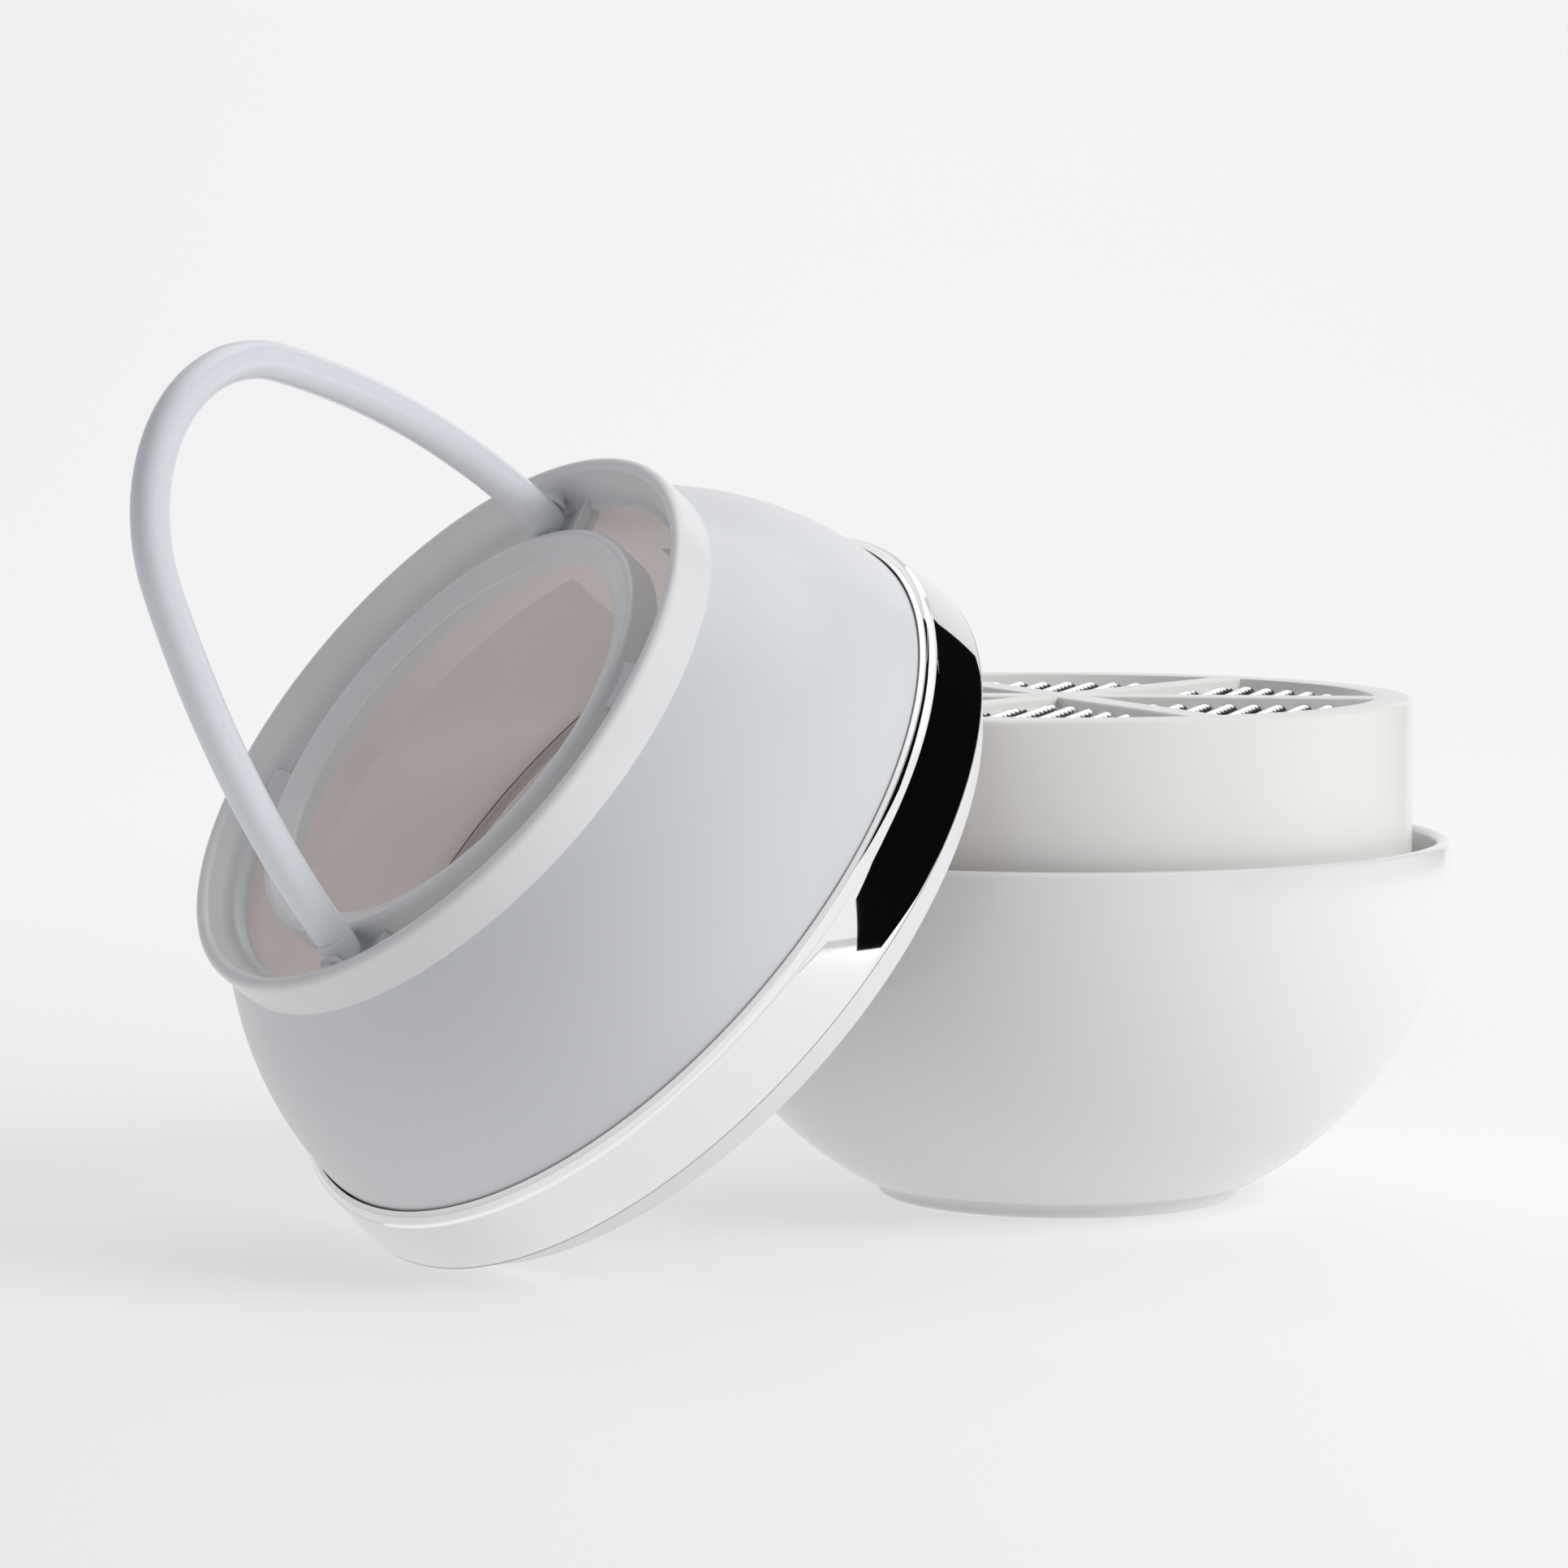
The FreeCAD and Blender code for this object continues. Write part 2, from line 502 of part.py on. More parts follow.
def make_handle_tube():
    outside = sweep_tube(TUBE_R, TIP_LENGTH)
    inside = sweep_tube(TUBE_R - TUBE_WALL, TIP_LENGTH)
    return lean_bail(outside.cut(inside).Solids[0])


def make_handle_tip(side):
    """Rounded plug in one end of the tube, drilled for its pivot pin."""
    path, start, tangent = bail_path(TIP_LENGTH)
    pivot = bail_plane_point(BAIL_HALF_W, 0)
    collar = cyl(TUBE_R, (start - pivot).Length, pivot, start - pivot)
    spigot = cyl(TUBE_R - TUBE_WALL - 0.3, SPIGOT_LENGTH - TIP_LENGTH, start, tangent)
    tip = Part.makeSphere(TUBE_R, pivot).fuse([collar, spigot])
    flat = Part.makeBox(4, 12, 12, Vector(BAIL_HALF_W + TUBE_R - 0.4, -6, PIN_H - 6))
    tip = tip.cut([flat, make_pin(1)])
    return lean_bail(mirror_side(one_solid(tip), side))


def make_pin(side):
    pin = cyl(PIN_R, PIN_OUT_X - PIN_IN_X, Vector(PIN_IN_X, 0, PIN_H), Vector(1, 0, 0))
    return mirror_side(pin, side)


def make_washer(side):
    """Springy friction washer between the handle end and the rim."""
    x = BAIL_HALF_W + TUBE_R - 0.4
    axis = Vector(1, 0, 0)
    ring = cyl(2.5, 0.9, Vector(x, 0, PIN_H), axis).cut(cyl(PIN_R, 2, Vector(x - 0.5, 0, PIN_H), axis))
    return mirror_side(ring.Solids[0], side)


def mirror_side(shape, side):
    """The shape itself for side 1, turned half way about the lid's axis for side -1."""
    if side == 1:
        return shape.copy()
    return rotate_z(shape, 180)


# ---------------------------------------------------------------- placing the lid
LID_FLOOR_EDGES = [(LIP_OUT_R, -LIP_DEPTH), (SEAT_OUT_R, 0), (BEVEL_TOP_R, BEVEL_TOP_H - 0.15)]


def place_lid(shape):
    """Lay an upright lid piece in the leaning place.

    The lid's X becomes the pivot axis of the bail and its Z the lid's own axis. The
    height is such that the lowest edge of the lid just touches the floor.
    """
    azimuth = math.radians(LID_AZIMUTH)
    elevation = math.radians(LID_ELEVATION)
    axis = Vector(math.cos(elevation) * math.cos(azimuth),
                  math.cos(elevation) * math.sin(azimuth), math.sin(elevation))
    level = Vector(0, 0, 1).cross(axis).normalize() * -1
    uphill = level.cross(axis)
    turn_angle = math.radians(BAIL_TURN)
    pivot = level * math.cos(turn_angle) - uphill * math.sin(turn_angle)
    side = axis.cross(pivot)
    drop = max(radius * math.cos(elevation) - height * math.sin(elevation)
               for radius, height in LID_FLOOR_EDGES)
    matrix = FreeCAD.Matrix(pivot.x, side.x, axis.x, LID_SEAT_X,
                            pivot.y, side.y, axis.y, LID_SEAT_Y,
                            pivot.z, side.z, axis.z, drop,
                            0, 0, 0, 1)
    placed = shape.copy()
    placed.transformShape(matrix, True)
    return placed


# ---------------------------------------------------------------- the whole object
def compound(shapes):
    return Part.makeCompound(shapes)


def build_nodes():
    upright = {
        "bowl": make_bowl(),
        "foot_pad": make_foot_pad(),
        "drum_frame": make_drum_frame(),
        "grating_plate": make_grating_plate(),
        "plate_clamp_ring": make_clamp_ring(),
        "clamp_screws": compound(clamp_screw_shapes()),
        "hub_rivet": make_hub_rivet(),
    }
    lid = {
        "glide_ring": make_glide_ring(),
        "chrome_ring": make_chrome_ring(),
        "trim_ring": make_trim_ring(),
        "bearing_strip": make_bearing_strip(),
        "ring_screws": compound(ring_screw_shapes()),
        "dome_shell": make_dome_shell(),
        "top_frame": make_top_frame(),
        "chamber_sleeve": make_sleeve(),
        "frame_screws": compound(frame_screw_shapes()),
        "handle_tube": make_handle_tube(),
    }
    for letter, side in (("a", 1), ("b", -1)):
        lid["handle_tip_" + letter] = make_handle_tip(side)
        lid["pivot_pin_" + letter] = make_pin(side)
        lid["pivot_washer_" + letter] = make_washer(side)
    nodes = dict(upright)
    nodes.update({name: place_lid(shape) for name, shape in lid.items()})
    return nodes


def main():
    os.makedirs("parts", exist_ok=True)
    for name, shape in build_nodes().items():
        shape.exportStep("parts/" + name + ".step")
        box = shape.BoundBox
        print("%-16s valid %s solids %d volume %.0f  z %.2f to %.2f" % (
            name, shape.isValid(), len(shape.Solids), shape.Volume, box.ZMin, box.ZMax))


main()
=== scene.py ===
"""Rotary cheese grater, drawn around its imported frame.

An add-on with one operator for each piece or group and one for the stage. Shapes are
given in millimetres. The lid's pieces are made upright about their own axis, with height
0 at the seat face, and are then laid where the frame's lid joints say.
"""

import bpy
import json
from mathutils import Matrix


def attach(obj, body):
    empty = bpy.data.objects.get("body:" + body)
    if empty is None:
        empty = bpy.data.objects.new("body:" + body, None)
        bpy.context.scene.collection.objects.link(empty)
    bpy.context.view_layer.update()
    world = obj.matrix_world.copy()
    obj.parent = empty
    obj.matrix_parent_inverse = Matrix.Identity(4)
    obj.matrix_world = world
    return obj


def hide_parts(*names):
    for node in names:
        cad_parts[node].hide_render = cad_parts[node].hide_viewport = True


bl_info = {
    "name": "Rotary Cheese Grater",
    "version": (1, 0, 0),
    "blender": (4, 5, 0),
    "location": "View3D > Sidebar > Grater",
    "description": "Builds a rotary cheese grater with a serving bowl around its CAD frame",
    "category": "Object",
}

import json
import math

import bpy
from mathutils import Matrix, Vector

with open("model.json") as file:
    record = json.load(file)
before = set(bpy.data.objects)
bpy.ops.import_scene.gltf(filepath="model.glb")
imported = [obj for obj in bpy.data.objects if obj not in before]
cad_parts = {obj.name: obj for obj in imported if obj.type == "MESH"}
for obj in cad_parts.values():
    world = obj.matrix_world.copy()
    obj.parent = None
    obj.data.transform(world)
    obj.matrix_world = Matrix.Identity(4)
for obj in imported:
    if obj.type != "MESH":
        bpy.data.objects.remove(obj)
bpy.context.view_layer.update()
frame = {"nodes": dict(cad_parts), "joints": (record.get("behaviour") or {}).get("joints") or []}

MM = 0.001
MERGE = 0.000004           # metres, vertices closer than this are one

# ---------------------------------------------------------------- sizes, in millimetres
# Serving bowl
BOWL_R = 75.0              # widest place, at the belly
BELLY_Z = 63.5             # height of the belly
BOWL_DROP = 69.8           # upright half axis of the outside oval
BOWL_DROP_IN = 66.6        # upright half axis of the inside oval
BOWL_LIP_R = 1.4           # rounding of the rim, half the wall
BOWL_LIP_Z = 68.24
BOWL_FLOOR_Z = 5.2
FOOT_TOP_Z = 3.6
FOOT_HOLLOW_Z = 2.0
FOOT_IN_R = 30.2

# Grater drum and its plate
DRUM_R = 67.6
DRUM_IN_R = 65.2
DRUM_BASE_Z = 39.2
DRUM_TOP_Z = 96.6
DRUM_HOLE_R = 60.1         # opening inside the top annulus
DRUM_ROUND_R = 1.2
DRUM_ROUND_LOW_R = 1.1
HUB_R = 7.2
SPOKE_COUNT = 6
SPOKE_TURN = -6.5          # degrees, heading of the first spoke
SPOKE_IN_R = 4.0
SPOKE_OUT_R = 61.6
SPOKE_FLARE = 1.2          # how much wider a spoke is where it meets the annulus
SPOKE_T = 2.57
PLATE_TOP_Z = 94.0
PLATE_BASE_Z = 93.2
PLATE_R = 63.0
TEETH_REACH = 58.6         # radius of the toothed area
TOOTH_HALF_L = 1.65
TOOTH_HALF_W = 1.95
TOOTH_WALL = 0.28

# Lid, with heights above its seat face
RING_IN_R = 69.0
LIP_R = 71.6               # locating lip inside the bowl's rim
LIP_DEPTH = 1.6
RING_R = 78.8
GLIDE_TOP_H = 6.15
CHROME_LOW_H = 6.45
CHROME_RISE = 10.6
CHROME_TAPER = 1.15
CHROME_BULGE = 0.2
TRIM_R = 75.4
TRIM_OUT_R = 76.3
DOME_R = 75.4
DOME_BELLY_H = 12.9
DOME_RISE = 70.0           # upright half axis of the oval outside wall
DOME_WALL = 2.4
DOME_LOW_H = 19.6
DOME_TOP_H = 56.5
FLANGE_R = 76.0
FRAME_IN_R = 53.4
RIM_R = 59.3
RIM_ROLL_R = 1.5
RIM_ROLL_H = 63.37
CHAMBER_R = 39.2           # cheese opening inside the inner ring
FRAME_BASE_H = 54.9        # underside of the webs and the inner ring
INNER_ROLL_R = 1.3
SADDLE_HALF_W = 7.0        # half width of the webs below the handle's ends
PLAIN_HALF_W = 5.0         # half width of the two other webs
SADDLE_IN_R = 44.6
PLAIN_IN_R = 44.8
DIP_R = 5.2                # hollow in the top of a plain web
DIP_H = 62.6
DIP_X = 49.3

# Bail handle, in its own plane
BAIL_HALF_W = 49.3         # tube's centre line at the pivots
BAIL_RISE = 84.5
BAIL_TOP_R = 29.9          # bend at the top
BAIL_SIDE_R = 183.5        # gentle bend of each side
BAIL_TIP = 4.0             # length of the rounded end pieces
BAIL_LEAN = 11.0           # degrees from the lid's axis
TUBE_R = 3.4
PIN_H = 60.87              # height of the pivots above the seat face

# Faces nearer to the lid's axis than this take the inside finish, a warm painted shade for the dim light
# inside the lid
CHROME_SHADE_R = 76.25
GLIDE_SHADE_R = 71.4
DOME_SHADE_R = 73.5

# ---------------------------------------------------------------- finishes
BROAD_GRAIN = 14           # how much broader the colour's grain is than the fine one
COAT_ROUGH = 0.06
RELIEF_DEPTH = 0.0001      # metres

# ---------------------------------------------------------------- stage, in metres
FLOOR_HALF_W = 4.0
FLOOR_FRONT_Y = -3.0
FLOOR_BEND_Y = 0.9         # where the floor begins to rise
FLOOR_BEND_R = 1.2
FLOOR_TOP = 3.5
FLOOR_GREY = 0.45
FLOOR_GLOW = 0.5
SCREEN_R = 0.9
SCREEN_TOP = 1.3
SCREEN_START = 33          # degrees, heading of the screen's first edge
SCREEN_SWEEP = 95
SCREEN_PLACE = (-0.06, -0.09, 0.0)
SCREEN_GREY = 0.004
SKY = (0.913, 0.913, 0.913, 1)
SKY_FILL = (0.24, 0.245, 0.26, 1)
KEY_PLACE = (0.95, -0.48, 0.68)
TOP_PLACE = (0.1, 0.25, 1.3)
BACKDROP_PLACE = (0.0, 1.0, 1.3)
BACKDROP_AIM = (0.0, 1.9, 0.3)
LAMP_AIM = (-0.03, -0.03, 0.05)
CAMERA_PLACE = (-0.05315, -1.0643, 0.1705)
CAMERA_PITCH = 4.898       # degrees below level
CAMERA_LENS = 127.2


# ---------------------------------------------------------------- settings
def colour_prop(name, description, default):
    return bpy.props.FloatVectorProperty(
        name=name, description=description, default=default, subtype="COLOR", size=3, min=0.0, max=1.0)


def length_prop(name, description, default):
    return bpy.props.FloatProperty(
        name=name, description=description, default=default * MM, unit="LENGTH", subtype="DISTANCE", min=0.0)


class GraterSettings(bpy.types.PropertyGroup):
    """Sizes and colours of the grater's looks."""

    turn_steps: bpy.props.IntProperty(
        name="Turning steps", description="Faces around each turned piece", default=192, min=48, max=256)
    tooth_pitch: length_prop("Tooth pitch", "Distance between rows of grating teeth", 4.7)
    tooth_step: length_prop("Tooth step", "Distance between teeth in a row", 3.8)
    tooth_height: length_prop("Tooth height", "How far a tooth stands above the plate", 1.45)
    tooth_row_angle: bpy.props.FloatProperty(
        name="Row angle", description="Heading of the rows of teeth, from the X axis",
        default=math.radians(76), subtype="ANGLE", unit="ROTATION")
    spoke_width: length_prop("Spoke width", "Width of the drum's spokes", 7.0)
    edge_round: length_prop("Edge rounding", "Rounding of moulded edges", 0.45)
    bowl_colour: colour_prop("Bowl", "Glossy plastic of the serving bowl", (0.76, 0.76, 0.765))
    drum_colour: colour_prop("Drum", "Ivory plastic of the grater drum", (0.79, 0.775, 0.745))
    steel_colour: colour_prop("Steel", "Stainless steel of plate and screws", (0.80, 0.80, 0.80))
    ring_colour: colour_prop("Glide ring", "White plastic of the lower ring", (0.76, 0.765, 0.77))
    dome_colour: colour_prop("Dome", "Glossy plastic of the lid's dome", (0.70, 0.715, 0.73))
    frame_colour: colour_prop("Top frame", "Plastic of the lid's top frame", (0.74, 0.75, 0.755))
    # Sleeve colour: pale plastic tinted warm as painted shade, for the dim, warm light inside the lid
    inside_shade_colour: colour_prop("Sleeve", "Warm plastic of the cheese chamber", (0.86, 0.80, 0.78))
    handle_colour: colour_prop("Handle", "Cool white coating of the bail", (0.70, 0.725, 0.765))
    pad_colour: colour_prop("Pad", "Grey rubber of the foot pad", (0.35, 0.35, 0.35))
    key_power: bpy.props.FloatProperty(
        name="Key light", description="Power of the large soft light", default=11.0, min=0.0, unit="POWER")


# ---------------------------------------------------------------- materials
def surface(name, colour, rough, metal=0.0, grain=350.0, tint=0.03, bump=0.03, coat=0.0, spread=0.02):
    """A procedural finish: a broad grain shifts its colour, a fine one its roughness and relief."""
    material = bpy.data.materials.new(name)
    material.use_nodes = True
    nodes = material.node_tree.nodes
    links = material.node_tree.links
    shader = nodes["Principled BSDF"]
    shader.inputs["Metallic"].default_value = metal
    shader.inputs["Coat Weight"].default_value = coat
    shader.inputs["Coat Roughness"].default_value = COAT_ROUGH
    place = nodes.new("ShaderNodeTexCoord")
    fine = nodes.new("ShaderNodeTexNoise")
    fine.inputs["Scale"].default_value = grain
    fine.inputs["Detail"].default_value = 4.0
    broad = nodes.new("ShaderNodeTexNoise")
    broad.inputs["Scale"].default_value = grain / BROAD_GRAIN
    broad.inputs["Detail"].default_value = 2.0
    links.new(place.outputs["Object"], fine.inputs["Vector"])
    links.new(place.outputs["Object"], broad.inputs["Vector"])
    blend = nodes.new("ShaderNodeMix")
    blend.data_type = "RGBA"
    blend.inputs["A"].default_value = (*[c * (1 - tint) for c in colour], 1)
    blend.inputs["B"].default_value = (*[min(1.0, c * (1 + tint)) for c in colour], 1)
    links.new(broad.outputs["Fac"], blend.inputs["Factor"])
    links.new(blend.outputs["Result"], shader.inputs["Base Color"])
    ranged = nodes.new("ShaderNodeMapRange")
    ranged.inputs["To Min"].default_value = max(0.0, rough - spread)
    ranged.inputs["To Max"].default_value = rough + spread
    links.new(fine.outputs["Fac"], ranged.inputs["Value"])
    links.new(ranged.outputs["Result"], shader.inputs["Roughness"])
    relief = nodes.new("ShaderNodeBump")
    relief.inputs["Strength"].default_value = bump
    relief.inputs["Distance"].default_value = RELIEF_DEPTH
    links.new(fine.outputs["Fac"], relief.inputs["Height"])
    links.new(relief.outputs["Normal"], shader.inputs["Normal"])
    return material


# ---------------------------------------------------------------- drawing by hand
def activate(obj):
    bpy.ops.object.select_all(action="DESELECT")
    obj.select_set(True)
    bpy.context.view_layer.objects.active = obj


def draw(name, points):
    """A line of edges through the points, one extruded vertex at a time. Stays in edit mode."""
    bpy.ops.object.select_all(action="DESELECT")
    bpy.ops.mesh.primitive_plane_add(size=MM)
    obj = bpy.context.object
    obj.name = name
    obj.data.name = name
    bpy.ops.object.mode_set(mode="EDIT")
    bpy.ops.mesh.select_mode(type="VERT")
    bpy.ops.mesh.select_all(action="SELECT")
    bpy.ops.mesh.merge(type="CENTER")
    bpy.ops.transform.translate(value=tuple(Vector(points[0]) * MM))
    for a, b in zip(points, points[1:]):
        step = tuple((Vector(b) - Vector(a)) * MM)
        bpy.ops.mesh.extrude_vertices_move(TRANSFORM_OT_translate={"value": step})
    return obj


def clean(obj, angle=35):
    """Merge doubled vertices, turn faces outward and shade smooth up to an angle."""
    activate(obj)
    bpy.ops.object.mode_set(mode="EDIT")
    bpy.ops.mesh.select_all(action="SELECT")
    bpy.ops.mesh.remove_doubles(threshold=MERGE)
    bpy.ops.mesh.normals_make_consistent(inside=False)
    bpy.ops.object.mode_set(mode="OBJECT")
    bpy.ops.object.shade_smooth_by_angle(angle=math.radians(angle))
    return obj


def lathe(name, profile, steps, closed=True, angle=35):
    """Turn a half section of (radius, height) corners about the upright axis."""
    corners = [(r, 0.0, h) for r, h in profile]
    obj = draw(name, corners + corners[:1] if closed else corners)
    bpy.ops.mesh.select_all(action="SELECT")
    bpy.ops.mesh.remove_doubles(threshold=MERGE)
    bpy.ops.mesh.select_all(action="SELECT")
    bpy.ops.mesh.spin(steps=steps, angle=2 * math.pi, center=(0, 0, 0), axis=(0, 0, 1))
    bpy.ops.object.mode_set(mode="OBJECT")
    return clean(obj, angle)


def prism(name, outline, push):
    """A closed outline filled and pushed out to a solid."""
    obj = draw(name, outline + outline[:1])
    bpy.ops.mesh.select_all(action="SELECT")
    bpy.ops.mesh.remove_doubles(threshold=MERGE)
    bpy.ops.mesh.select_all(action="SELECT")
    bpy.ops.mesh.edge_face_add()
    bpy.ops.mesh.extrude_region_move(TRANSFORM_OT_translate={"value": tuple(Vector(push) * MM)})
    bpy.ops.object.mode_set(mode="OBJECT")
    return clean(obj)


def bevel(obj, width, segments=2):
    activate(obj)
    modifier = obj.modifiers.new("Bevel", "BEVEL")
    modifier.width = width
    modifier.segments = segments
    modifier.limit_method = "ANGLE"
    bpy.ops.object.modifier_apply(modifier=modifier.name)
    bpy.ops.object.shade_smooth_by_angle(angle=math.radians(40))
    return obj


def copy_turned(obj, degrees):
    """A copy with its own mesh, turned about the upright axis."""
    activate(obj)
    bpy.ops.object.duplicate(linked=False)
    copy = bpy.context.object
    copy.rotation_euler = (0, 0, math.radians(degrees))
    return settle(copy)


def join(first, others):
    bpy.ops.object.select_all(action="DESELECT")
    for obj in [first] + list(others):
        obj.select_set(True)
    bpy.context.view_layer.objects.active = first
    bpy.ops.object.join()
    return first


def settle(obj):
    """Bake an object's place into its mesh, so that it sits at the origin unturned."""
    activate(obj)
    bpy.ops.object.transform_apply(location=True, rotation=True, scale=True)
    return obj


def lid_place():
    """Where the lid lies: X along the bail's pivots, Z along the lid's own axis."""
    joints = {joint["name"]: joint for joint in frame["joints"]}
    z = Vector(joints["dome_turn"]["axis"]).normalized()
    x = Vector(joints["handle_fold"]["axis"]).normalized()
    matrix = Matrix((x, z.cross(x), z)).transposed().to_4x4()
    matrix.translation = Vector(joints["dome_turn"]["pos_m"])
    return matrix


def lay(obj):
    obj.matrix_world = lid_place()
    return settle(obj)


def hand_over(obj, body, material, nodes):
    """Dress a finished piece and give it to its body in the frame."""
    missing = [node for node in nodes if node not in frame["nodes"]]
    if missing:
        raise RuntimeError("the frame has no " + ", ".join(missing))
    if not obj.data.polygons:
        raise RuntimeError(obj.name + " has no faces")
    obj.data.materials.clear()
    obj.data.materials.append(material)
    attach(obj, body)
    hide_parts(*nodes)


def paint_inside_shade(obj, material, limit):
    """Give a lid piece's faces that look at the lid's axis, within a radius, another finish: painted shade
    for the dim inside of the lid.
    """
    to_lid = lid_place().inverted()
    obj.data.materials.append(material)
    for face in obj.data.polygons:
        centre = to_lid @ face.center
        normal = to_lid.to_3x3() @ face.normal
        radius = math.hypot(centre.x, centre.y)
        inward = (centre.x * normal.x + centre.y * normal.y) / max(radius, MM)
        if radius < limit * MM and inward < 0.3:
            face.material_index = 1


def dress(node, material):
    """Give a shown CAD node its finish."""
    obj = frame["nodes"].get(node)
    if obj is None:
        raise RuntimeError("the frame has no " + node)
    obj.data.materials.clear()
    obj.data.materials.append(material)
    activate(obj)
    bpy.ops.object.shade_smooth_by_angle(angle=math.radians(30))


# ---------------------------------------------------------------- half sections
def oval(r_axis, centre, z_axis, start, end, count):
    """Points of an upright oval about the axis, from one height to another."""
    a0 = math.asin((start - centre) / z_axis)
    a1 = math.asin((end - centre) / z_axis)
    angles = [a0 + (a1 - a0) * i / count for i in range(count + 1)]
    return [(r_axis * math.cos(a), centre + z_axis * math.sin(a)) for a in angles]


def bend(r, h, radius, start, end, count):
    """Points of an arc about (r, h), from one angle to another in degrees."""
    angles = [math.radians(start + (end - start) * i / count) for i in range(count + 1)]
    return [(r + radius * math.cos(a), h + radius * math.sin(a)) for a in angles]


def bowl_section():
    body = oval(BOWL_R, BELLY_Z, BOWL_DROP, FOOT_TOP_Z, BELLY_Z, 40)
    foot_r, foot_h = body[0]
    section = [(0, FOOT_HOLLOW_Z), (FOOT_IN_R, FOOT_HOLLOW_Z), (FOOT_IN_R, 0.3)]
    section += bend(33.9, 1.3, 1.0, -90, 0, 6)
    section += [(35.0, 1.9), (35.25, 2.5), (36.1, 3.05), (foot_r - 0.7, foot_h - 0.25)]
    section += body
    section += bend(BOWL_R - BOWL_LIP_R, BOWL_LIP_Z, BOWL_LIP_R, 0, 180, 14)
    section += oval(BOWL_R - 2 * BOWL_LIP_R, BELLY_Z, BOWL_DROP_IN, BELLY_Z, BOWL_FLOOR_Z, 36)
    section += [(0, BOWL_FLOOR_Z)]
    return section


def drum_section():
    section = [(DRUM_HOLE_R, PLATE_TOP_Z), (DRUM_HOLE_R, DRUM_TOP_Z - 0.35), (60.25, DRUM_TOP_Z - 0.1),
               (60.5, DRUM_TOP_Z), (63.0, DRUM_TOP_Z)]
    section += bend(DRUM_R - DRUM_ROUND_R, DRUM_TOP_Z - DRUM_ROUND_R, DRUM_ROUND_R, 90, 0, 8)
    section += [(DRUM_R, 80.0), (DRUM_R, 60.0), (DRUM_R, 41.0)]
    section += bend(DRUM_R - DRUM_ROUND_LOW_R, DRUM_BASE_Z + DRUM_ROUND_LOW_R, DRUM_ROUND_LOW_R, 0, -90, 5)
    section += [(65.6, DRUM_BASE_Z), (DRUM_IN_R, 40.0), (DRUM_IN_R, 89.2), (65.0, 90.2), (65.0, PLATE_TOP_Z)]
    return section


def glide_section():
    lip = [(RING_IN_R, -1.3), (69.3, -LIP_DEPTH), (71.3, -LIP_DEPTH), (LIP_R, -1.3), (LIP_R, 0)]
    slope = [(73.6, 0), (73.95, 0.12), (76.3, 3.05), (78.55, 5.72), (RING_R, 6.05)]
    return lip + slope + [(78.78, GLIDE_TOP_H), (RING_IN_R, GLIDE_TOP_H)]


def chrome_section():
    wall = [(78.5, GLIDE_TOP_H), (78.72, 6.22), (RING_R, CHROME_LOW_H)]
    for i in range(1, 12):
        t = i / 12
        radius = RING_R - CHROME_TAPER * t + 4 * CHROME_BULGE * t * (1 - t)
        wall.append((radius, CHROME_LOW_H + CHROME_RISE * t))
    wall += [(RING_R - CHROME_TAPER, CHROME_LOW_H + CHROME_RISE), (77.6, 17.18), (77.45, 17.25)]
    cove = [(77.25, 17.3), (76.98, 17.45), (76.75, 17.68), (76.55, 18.0), (76.42, 18.35), (76.36, 18.6)]
    return wall + cove + [(TRIM_OUT_R, 18.6), (TRIM_OUT_R, 8.2), (69.8, 8.2), (69.8, GLIDE_TOP_H)]


def trim_section():
    collar = [(TRIM_R, 11.3), (TRIM_OUT_R, 11.3), (TRIM_OUT_R, 18.7)]
    return collar + [(76.22, 18.85), (75.62, 19.24), (75.5, 19.3), (TRIM_R, 19.2)]


def dome_section():
    skirt_r = DOME_R * math.sqrt(1 - ((DOME_LOW_H - DOME_BELLY_H) / DOME_RISE) ** 2)
    section = [(skirt_r - DOME_WALL, 9.3), (FLANGE_R, 9.3), (FLANGE_R, 11.0),
               (skirt_r - 0.05, 11.0), (skirt_r - 0.05, 19.0)]
    section += oval(DOME_R, DOME_BELLY_H, DOME_RISE, DOME_LOW_H, DOME_TOP_H, 44)
    section += [(55.8, DOME_TOP_H), (55.8, 54.2)]
    section += oval(DOME_R - DOME_WALL, DOME_BELLY_H, DOME_RISE - DOME_WALL, 54.2, DOME_LOW_H, 30)
    return section


def rim_section():
    section = [(FRAME_IN_R, DOME_TOP_H), (59.0, DOME_TOP_H), (59.25, 56.62), (RIM_R, 56.85), (RIM_R, 60.0)]
    section += bend(RIM_R - RIM_ROLL_R, RIM_ROLL_H, RIM_ROLL_R, 0, 180, 12)
    section += [(55.85, 62.0), (55.3, 60.4), (54.95, 59.4), (54.6, 58.6), (54.1, 58.0), (FRAME_IN_R, 57.6)]
    return section


def inner_section():
    section = [(42.6, FRAME_BASE_H), (45.2, FRAME_BASE_H), (45.2, 58.0)]
    section += bend(43.9, 60.46, INNER_ROLL_R, 0, 130, 10)
    section += [(41.6, 60.75), (40.3, 60.2), (39.5, 59.85), (39.25, 59.6), (CHAMBER_R, 59.35),
                (39.3, 59.05), (39.6, 58.85), (42.6, 58.3)]
    return section


